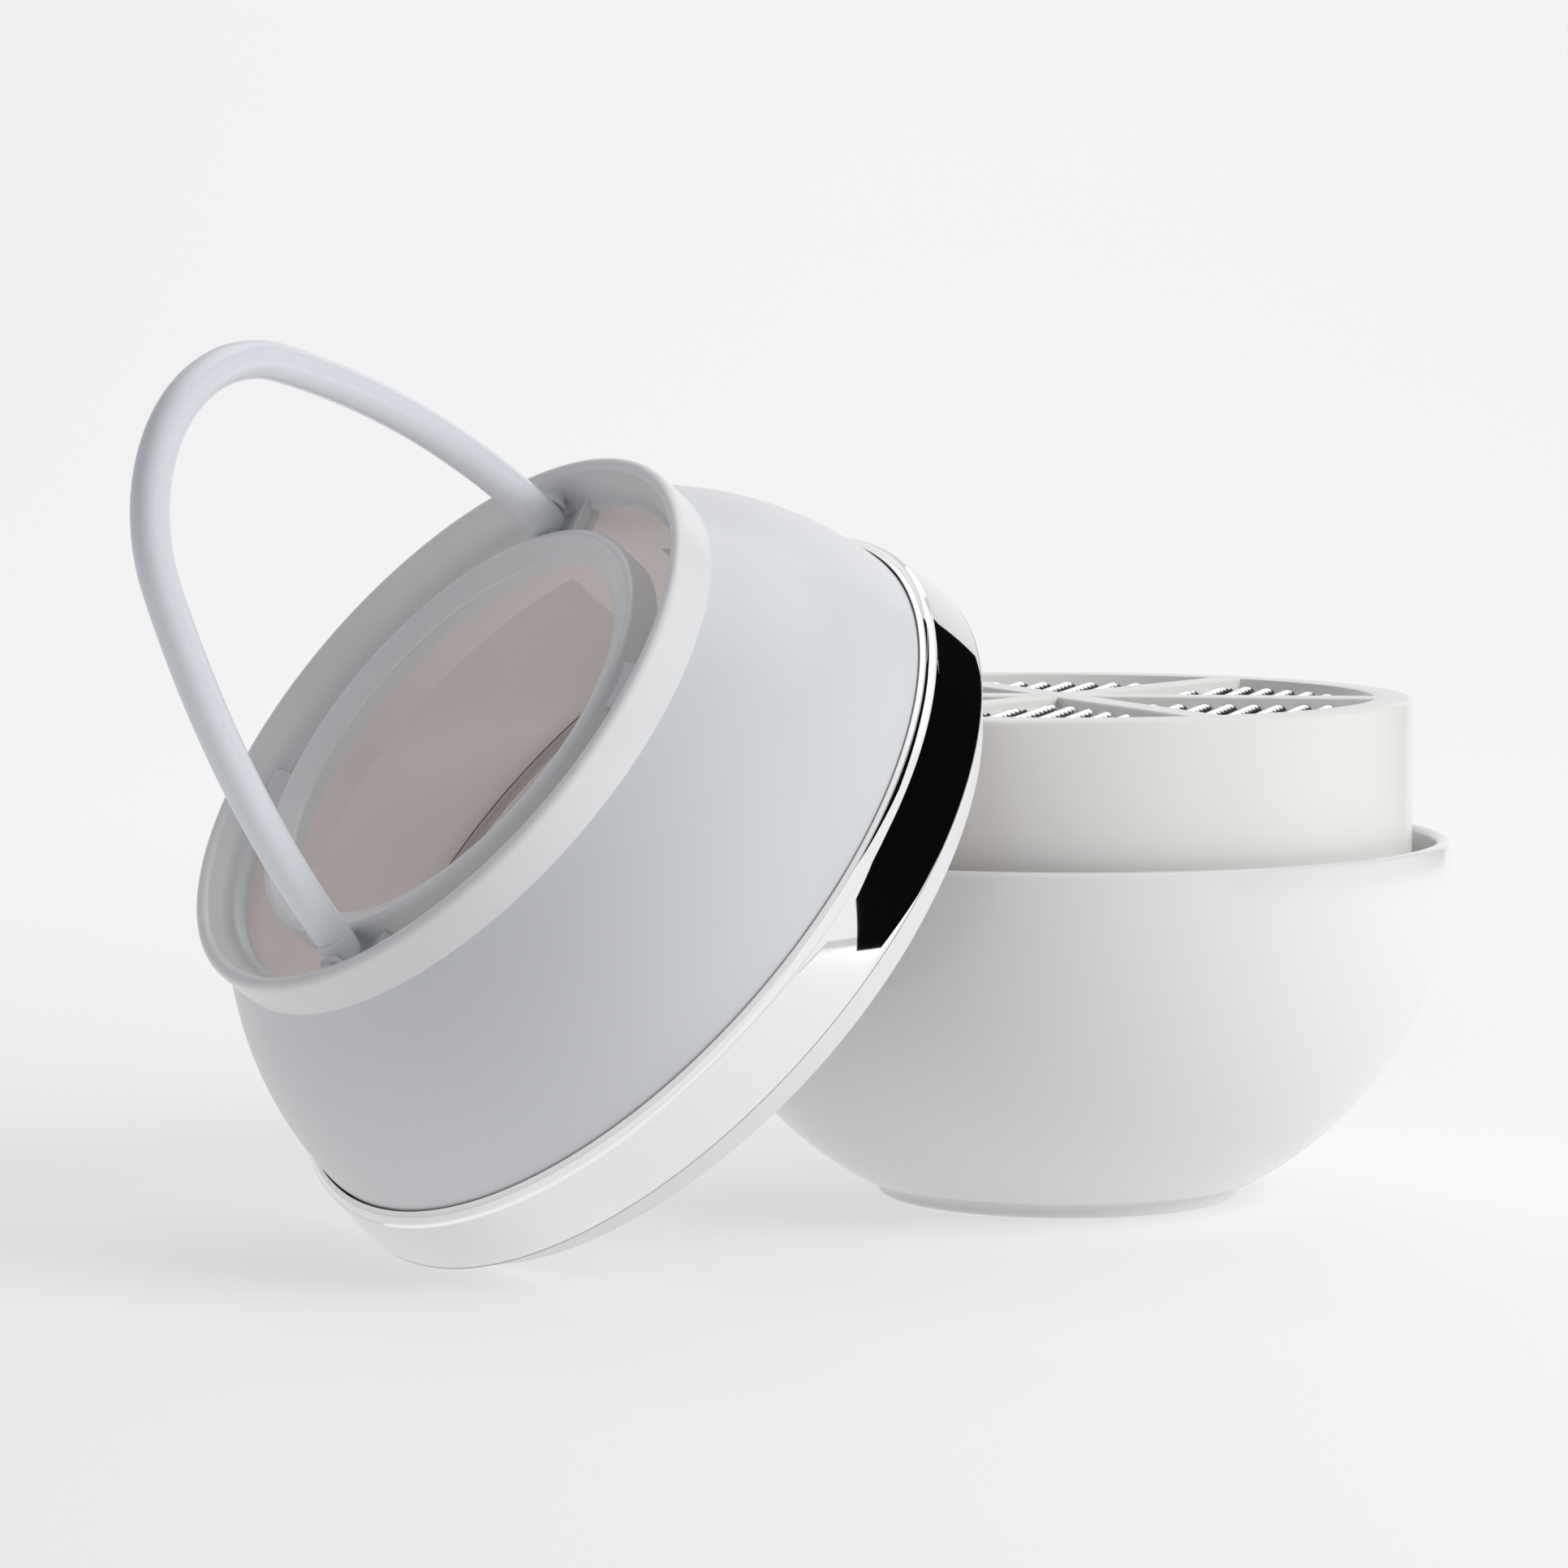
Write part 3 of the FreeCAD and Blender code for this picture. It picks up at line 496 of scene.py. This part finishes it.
def bail_points(sides, over):
    """Centre line of the bail in its own plane: a gentle arc, the top bend, a gentle arc."""
    top_h = BAIL_RISE - BAIL_TOP_R
    reach = math.hypot(BAIL_HALF_W, top_h)
    gap = BAIL_SIDE_R - BAIL_TOP_R
    along = (gap ** 2 - BAIL_SIDE_R ** 2 + reach ** 2) / (2 * reach)
    off = math.sqrt(gap ** 2 - along ** 2)
    ux, uz = BAIL_HALF_W / reach, -top_h / reach
    cx, cz = ux * along + uz * off, top_h + uz * along - ux * off
    join_a = math.atan2(top_h - cz, -cx)
    start_a = math.atan2(-cz, BAIL_HALF_W - cx) + BAIL_TIP / BAIL_SIDE_R
    right = []
    for i in range(sides):
        a = start_a + (join_a - start_a) * i / sides
        right.append((cx + BAIL_SIDE_R * math.cos(a), cz + BAIL_SIDE_R * math.sin(a)))
    first = math.atan2(cz + BAIL_SIDE_R * math.sin(join_a) - top_h, cx + BAIL_SIDE_R * math.cos(join_a))
    top = []
    for i in range(over + 1):
        a = first + (math.pi - 2 * first) * i / over
        top.append((BAIL_TOP_R * math.cos(a), top_h + BAIL_TOP_R * math.sin(a)))
    return right + top + [(-x, z) for x, z in reversed(right)]


# ---------------------------------------------------------------- pieces
class GRATER_OT_bowl(bpy.types.Operator):
    """Serving bowl: a thin turned wall with a rounded rim and a low foot"""

    bl_idname = "grater.bowl"
    bl_label = "Bowl"

    def execute(self, context):
        s = context.scene.grater
        bowl = lathe("bowl_body", bowl_section(), s.turn_steps, closed=False)
        finish = surface("bowl_white", s.bowl_colour, 0.22, coat=0.25, tint=0.012, bump=0.02)
        hand_over(bowl, "bowl", finish, ["bowl"])
        dress("foot_pad", surface("pad_grey", s.pad_colour, 0.8, grain=900, tint=0.15, bump=0.3))
        return {"FINISHED"}


class GRATER_OT_drum(bpy.types.Operator):
    """Grater drum: turned wall and annulus with six flat spokes and a hub"""

    bl_idname = "grater.drum"
    bl_label = "Drum"

    def execute(self, context):
        s = context.scene.grater
        wall = lathe("drum_body", drum_section(), s.turn_steps)
        half = s.spoke_width / MM / 2
        foot = SPOKE_OUT_R - 1.0
        outline = [(SPOKE_IN_R, -half, PLATE_TOP_Z), (foot, -half, PLATE_TOP_Z),
                   (SPOKE_OUT_R, -half - SPOKE_FLARE, PLATE_TOP_Z),
                   (SPOKE_OUT_R, half + SPOKE_FLARE, PLATE_TOP_Z),
                   (foot, half, PLATE_TOP_Z), (SPOKE_IN_R, half, PLATE_TOP_Z)]
        spoke = prism("spoke", outline, (0, 0, SPOKE_T))
        bevel(spoke, s.edge_round, 3)
        spokes = [copy_turned(spoke, SPOKE_TURN + 360 * i / SPOKE_COUNT) for i in range(SPOKE_COUNT)]
        bpy.data.objects.remove(spoke)
        hub = lathe("hub", [(0, PLATE_TOP_Z), (HUB_R, PLATE_TOP_Z), (HUB_R, 96.2), (7.05, 96.5),
                            (6.8, DRUM_TOP_Z), (0, DRUM_TOP_Z)], 48, closed=False)
        drum = join(wall, spokes + [hub])
        finish = surface("drum_ivory", s.drum_colour, 0.3, tint=0.015, bump=0.03, coat=0.1)
        hand_over(drum, "drum", finish, ["drum_frame"])
        steel = surface("screw_steel", s.steel_colour, 0.3, metal=1.0, grain=1500, tint=0.06)
        dress("plate_clamp_ring", finish)
        dress("clamp_screws", steel)
        dress("hub_rivet", steel)
        return {"FINISHED"}


class GRATER_OT_grating(bpy.types.Operator):
    """Grating plate: a thin steel disc with rows of raised cutting teeth"""

    bl_idname = "grater.grating"
    bl_label = "Grating plate"

    def make_tooth(self, s):
        """One tooth: a small hollow scoop, open to one side."""
        bpy.ops.object.select_all(action="DESELECT")
        bpy.ops.mesh.primitive_uv_sphere_add(segments=10, ring_count=6, radius=1.0)
        tooth = bpy.context.object
        tooth.scale = (TOOTH_HALF_L * MM, TOOTH_HALF_W * MM, s.tooth_height)
        settle(tooth)
        bpy.ops.object.mode_set(mode="EDIT")
        bpy.ops.mesh.select_all(action="SELECT")
        bpy.ops.mesh.bisect(plane_co=(0, 0, 0), plane_no=(0, 0, 1), clear_inner=True)
        bpy.ops.mesh.select_all(action="SELECT")
        bpy.ops.mesh.bisect(plane_co=(0.1 * MM, 0, 0.5 * MM), plane_no=(0.94, 0, 0.34), clear_outer=True)
        bpy.ops.object.mode_set(mode="OBJECT")
        modifier = tooth.modifiers.new("Thickness", "SOLIDIFY")
        modifier.thickness = TOOTH_WALL * MM
        modifier.offset = -1
        bpy.ops.object.modifier_apply(modifier=modifier.name)
        return tooth

    def execute(self, context):
        s = context.scene.grater
        section = [(0, PLATE_BASE_Z), (62.9, PLATE_BASE_Z), (PLATE_R, 93.3), (PLATE_R, 93.9),
                   (62.9, PLATE_TOP_Z), (60.2, PLATE_TOP_Z), (59.9, 93.98), (0, 93.98)]
        plate = lathe("grating_body", section, s.turn_steps, closed=False)
        tooth = self.make_tooth(s)
        rows = int(2 * TEETH_REACH * MM / s.tooth_pitch) + 1
        lines = []
        for i in range(rows):
            across = (i - (rows - 1) / 2) * s.tooth_pitch
            half = math.sqrt(max(0.0, (TEETH_REACH * MM) ** 2 - across ** 2))
            count = int(2 * half / s.tooth_step)
            if count < 2:
                continue
            activate(tooth)
            bpy.ops.object.duplicate(linked=False)
            line = bpy.context.object
            array = line.modifiers.new("Row", "ARRAY")
            array.use_relative_offset = False
            array.use_constant_offset = True
            array.constant_offset_displace = (s.tooth_step, 0, 0)
            array.count = count
            bpy.ops.object.modifier_apply(modifier=array.name)
            line.location = (-(count - 1) / 2 * s.tooth_step, across, (PLATE_TOP_Z - 0.1) * MM)
            settle(line)
            lines.append(line)
        bpy.data.objects.remove(tooth)
        teeth = join(lines[0], lines[1:])
        teeth.rotation_euler = (0, 0, s.tooth_row_angle)
        settle(teeth)
        bpy.ops.object.shade_smooth_by_angle(angle=math.radians(50))
        grating = join(plate, [teeth])
        finish = surface("grating_steel", s.steel_colour, 0.28, metal=1.0, grain=700, tint=0.04, bump=0.05)
        hand_over(grating, "drum", finish, ["grating_plate"])
        return {"FINISHED"}


class GRATER_OT_ring(bpy.types.Operator):
    """Lid's lower ring: white glide ring, polished wall with a cove, satin trim collar"""

    bl_idname = "grater.ring"
    bl_label = "Lid ring"

    def execute(self, context):
        s = context.scene.grater
        glide = lay(lathe("glide_body", glide_section(), s.turn_steps, angle=25))
        chrome = lay(lathe("chrome_body", chrome_section(), 256, angle=30))
        trim = lay(lathe("trim_body", trim_section(), s.turn_steps, angle=30))
        white = surface("ring_white", s.ring_colour, 0.45, grain=1200, tint=0.02, bump=0.08)
        mirror = surface("ring_chrome", (0.93, 0.93, 0.93), 0.035, metal=1.0, grain=250, tint=0.01,
                         bump=0.0015, spread=0.015)
        satin = surface("trim_silver", (0.80, 0.80, 0.80), 0.4, metal=0.85, grain=1500, tint=0.03, bump=0.1)
        steel = surface("ring_steel", s.steel_colour, 0.3, metal=1.0, grain=1500, tint=0.06)
        # Warm grey painted shade for the bearing strip and the inner faces of the chrome and glide rings, so
        # they read like the dim inside of the lid
        strip = surface("strip_white", (0.80, 0.76, 0.745), 0.5, grain=900, tint=0.03)
        hand_over(glide, "ring", white, ["glide_ring"])
        hand_over(chrome, "ring", mirror, ["chrome_ring"])
        paint_inside_shade(chrome, strip, CHROME_SHADE_R)
        paint_inside_shade(glide, strip, GLIDE_SHADE_R)
        hand_over(trim, "ring", satin, ["trim_ring"])
        dress("ring_screws", steel)
        dress("bearing_strip", strip)
        return {"FINISHED"}


class GRATER_OT_dome(bpy.types.Operator):
    """Lid's dome with its running flange, and the cheese sleeve inside it"""

    bl_idname = "grater.dome"
    bl_label = "Dome"

    def execute(self, context):
        s = context.scene.grater
        dome = lay(lathe("dome_body", dome_section(), s.turn_steps))
        white = surface("dome_white", s.dome_colour, 0.34, coat=0.12, tint=0.012, bump=0.02)
        hand_over(dome, "dome", white, ["dome_shell"])
        # The cheese sleeve and the dome's inward faces take a warm painted shade for the dim light inside
        # the lid
        inside = surface("inner_warm_white", s.inside_shade_colour, 0.4, grain=700, tint=0.03, bump=0.05)
        dress("chamber_sleeve", inside)
        paint_inside_shade(dome, inside, DOME_SHADE_R)
        steel = surface("frame_steel", s.steel_colour, 0.3, metal=1.0, grain=1500, tint=0.06)
        dress("frame_screws", steel)
        return {"FINISHED"}


class GRATER_OT_top_frame(bpy.types.Operator):
    """Lid's top frame: rolled rim and inner ring joined by saddle and plain webs"""

    bl_idname = "grater.top_frame"
    bl_label = "Top frame"

    def handle_web(self):
        """Trough-shaped web that leaves room for a handle end as it folds."""
        half = SADDLE_HALF_W
        crest = []
        for i in range(13):
            y = -half + 2 * half * i / 12
            crest.append((SADDLE_IN_R, y, 57.0 + 0.36 * (math.hypot(y, 2.0) - 2.0)))
        low = [(SADDLE_IN_R, -half, DOME_TOP_H)]
        top = prism("web_top", low + crest + [(SADDLE_IN_R, half, DOME_TOP_H)], (11.2, 0, 0))
        step = DOME_TOP_H + 0.2
        base = prism("web_base", [(SADDLE_IN_R, -half, FRAME_BASE_H), (SADDLE_IN_R, -half, step),
                                  (SADDLE_IN_R, half, step), (SADDLE_IN_R, half, FRAME_BASE_H)], (9.0, 0, 0))
        return join(top, [base])

    def plain_web(self):
        """Narrow web whose top dips between the two rolled edges."""
        half = PLAIN_HALF_W
        dip = [(x, -half, DIP_H - math.sqrt(max(0.0, DIP_R ** 2 - (x - DIP_X) ** 2)))
               for x in [PLAIN_IN_R + 9.0 * i / 14 for i in range(15)]]
        outline = [(PLAIN_IN_R, -half, FRAME_BASE_H)] + dip
        outline += [(55.5, -half, 59.6), (55.5, -half, DOME_TOP_H), (53.6, -half, DOME_TOP_H),
                    (53.6, -half, FRAME_BASE_H)]
        return prism("web_plain", outline, (0, 2 * half, 0))

    def execute(self, context):
        s = context.scene.grater
        rim = lathe("top_frame_body", rim_section(), s.turn_steps)
        inner = lathe("inner_ring", inner_section(), s.turn_steps)
        saddle = bevel(self.handle_web(), s.edge_round, 3)
        plain = bevel(self.plain_web(), s.edge_round, 3)
        webs = [copy_turned(saddle, 0), copy_turned(saddle, 180)]
        webs += [copy_turned(plain, 90), copy_turned(plain, -90)]
        bpy.data.objects.remove(saddle)
        bpy.data.objects.remove(plain)
        top = lay(join(rim, [inner] + webs))
        white = surface("frame_white", s.frame_colour, 0.3, coat=0.15, tint=0.008, bump=0.02, spread=0.008)
        hand_over(top, "dome", white, ["top_frame"])
        return {"FINISHED"}


class GRATER_OT_handle(bpy.types.Operator):
    """Bail handle: a bent tube with rounded ends on two pivot pins"""

    bl_idname = "grater.handle"
    bl_label = "Handle"

    def execute(self, context):
        s = context.scene.grater
        lean = math.radians(BAIL_LEAN)
        path = [(x, -z * math.sin(lean), PIN_H + z * math.cos(lean)) for x, z in bail_points(20, 44)]
        tube = draw("handle_body", path)
        bpy.ops.object.mode_set(mode="OBJECT")
        bpy.ops.object.convert(target="CURVE")
        curve = bpy.context.object.data
        curve.dimensions = "3D"
        curve.bevel_depth = TUBE_R * MM
        curve.bevel_resolution = 6
        curve.use_fill_caps = True
        bpy.ops.object.convert(target="MESH")
        tube = lay(clean(bpy.context.object, 40))
        white = surface("handle_white", s.handle_colour, 0.25, coat=0.3, grain=500, tint=0.015, bump=0.03)
        hand_over(tube, "handle", white, ["handle_tube"])
        pin = surface("pin_white", s.frame_colour, 0.35, grain=900, tint=0.02)
        for side in ("a", "b"):
            dress("handle_tip_" + side, white)
            dress("pivot_pin_" + side, pin)
            dress("pivot_washer_" + side, pin)
        return {"FINISHED"}


# ---------------------------------------------------------------- stage
def soft_light(name, place, size, power, target=LAMP_AIM):
    """A large square lamp aimed at the object, or at another point."""
    bpy.ops.object.select_all(action="DESELECT")
    bpy.ops.object.light_add(type="AREA", location=place)
    lamp = bpy.context.object
    lamp.name = name
    lamp.data.energy = power
    lamp.data.size = size
    aim = Vector(target) - Vector(place)
    lamp.rotation_euler = aim.to_track_quat("-Z", "Y").to_euler()
    return lamp


class GRATER_OT_stage(bpy.types.Operator):
    """Pale seamless floor, soft light, a dark screen for the mirror to see, and a camera"""

    bl_idname = "grater.stage"
    bl_label = "Stage"

    def make_floor(self):
        line = [(-FLOOR_HALF_W, FLOOR_FRONT_Y, 0), (-FLOOR_HALF_W, FLOOR_BEND_Y, 0)]
        for i in range(1, 17):
            a = math.radians(90 * i / 16)
            line.append((-FLOOR_HALF_W, FLOOR_BEND_Y + FLOOR_BEND_R * math.sin(a),
                         FLOOR_BEND_R - FLOOR_BEND_R * math.cos(a)))
        line.append((-FLOOR_HALF_W, FLOOR_BEND_Y + FLOOR_BEND_R, FLOOR_TOP))
        floor = draw("floor", [Vector(point) / MM for point in line])
        bpy.ops.mesh.select_all(action="SELECT")
        bpy.ops.mesh.extrude_region_move(TRANSFORM_OT_translate={"value": (2 * FLOOR_HALF_W, 0, 0)})
        bpy.ops.object.mode_set(mode="OBJECT")
        bpy.ops.object.shade_smooth()
        pale = surface("floor_pale", (FLOOR_GREY,) * 3, 0.9, grain=40, tint=0.004, bump=0.0)
        shader = pale.node_tree.nodes["Principled BSDF"]
        shader.inputs["Specular IOR Level"].default_value = 0.0
        shader.inputs["Emission Color"].default_value = (1, 1, 1, 1)
        shader.inputs["Emission Strength"].default_value = FLOOR_GLOW
        floor.data.materials.clear()
        floor.data.materials.append(pale)
        return floor

    def make_screen(self):
        """Upright dark screen to the right, seen only in reflections."""
        headings = [math.radians(SCREEN_START + SCREEN_SWEEP * i / 24) for i in range(25)]
        reach = SCREEN_R / MM
        screen = draw("dark_screen", [(reach * math.sin(a), reach * math.cos(a), 0) for a in headings])
        bpy.ops.mesh.select_all(action="SELECT")
        bpy.ops.mesh.extrude_region_move(TRANSFORM_OT_translate={"value": (0, 0, SCREEN_TOP)})
        bpy.ops.object.mode_set(mode="OBJECT")
        screen.location = SCREEN_PLACE
        settle(screen)
        screen.visible_camera = False
        screen.visible_diffuse = False
        screen.visible_shadow = False
        screen.visible_transmission = False
        dark = surface("screen_dark", (SCREEN_GREY,) * 3, 0.9, grain=20, tint=0.1, bump=0.0)
        dark.node_tree.nodes["Principled BSDF"].inputs["Specular IOR Level"].default_value = 0.0
        screen.data.materials.clear()
        screen.data.materials.append(dark)
        return screen

    def make_world(self, scene):
        world = bpy.data.worlds.new("studio")
        scene.world = world
        world.use_nodes = True
        nodes = world.node_tree.nodes
        links = world.node_tree.links
        back = nodes["Background"]
        rays = nodes.new("ShaderNodeLightPath")
        blend = nodes.new("ShaderNodeMix")
        blend.data_type = "RGBA"
        blend.inputs["A"].default_value = SKY
        blend.inputs["B"].default_value = SKY_FILL
        links.new(rays.outputs["Is Diffuse Ray"], blend.inputs["Factor"])
        links.new(blend.outputs["Result"], back.inputs["Color"])

    def execute(self, context):
        s = context.scene.grater
        scene = context.scene
        self.make_floor()
        self.make_screen()
        self.make_world(scene)
        key = soft_light("key_light", KEY_PLACE, 0.8, s.key_power)
        key.visible_glossy = False
        soft_light("top_light", TOP_PLACE, 1.0, s.key_power * 0.22)
        soft_light("backdrop_light", BACKDROP_PLACE, 1.6, s.key_power * 0.8, BACKDROP_AIM)
        bpy.ops.object.camera_add(location=CAMERA_PLACE, rotation=(math.radians(90 - CAMERA_PITCH), 0, 0))
        camera = context.object
        camera.data.lens = CAMERA_LENS
        camera.data.sensor_width = 36
        camera.data.clip_start = 0.01
        scene.camera = camera
        scene.view_settings.view_transform = "Standard"
        return {"FINISHED"}


PIECES = [GRATER_OT_bowl, GRATER_OT_drum, GRATER_OT_grating, GRATER_OT_ring, GRATER_OT_dome,
          GRATER_OT_top_frame, GRATER_OT_handle, GRATER_OT_stage]


class GRATER_PT_panel(bpy.types.Panel):
    """Sidebar panel with the pieces and their settings"""

    bl_idname = "GRATER_PT_panel"
    bl_label = "Cheese Grater"
    bl_space_type = "VIEW_3D"
    bl_region_type = "UI"
    bl_category = "Grater"

    def draw(self, context):
        settings = context.scene.grater
        column = self.layout.column()
        for name in settings.__annotations__:
            column.prop(settings, name)
        for piece in PIECES:
            column.operator(piece.bl_idname)


def register():
    bpy.utils.register_class(GraterSettings)
    for cls in PIECES + [GRATER_PT_panel]:
        bpy.utils.register_class(cls)
    bpy.types.Scene.grater = bpy.props.PointerProperty(type=GraterSettings)


def unregister():
    del bpy.types.Scene.grater
    for cls in reversed(PIECES + [GRATER_PT_panel]):
        bpy.utils.unregister_class(cls)
    bpy.utils.unregister_class(GraterSettings)


def main():
    register()
    bpy.ops.grater.bowl()
    bpy.ops.grater.drum()
    bpy.ops.grater.grating()
    bpy.ops.grater.ring()
    bpy.ops.grater.dome()
    bpy.ops.grater.top_frame()
    bpy.ops.grater.handle()
    bpy.ops.grater.stage()


if __name__ == "__main__":
    main()
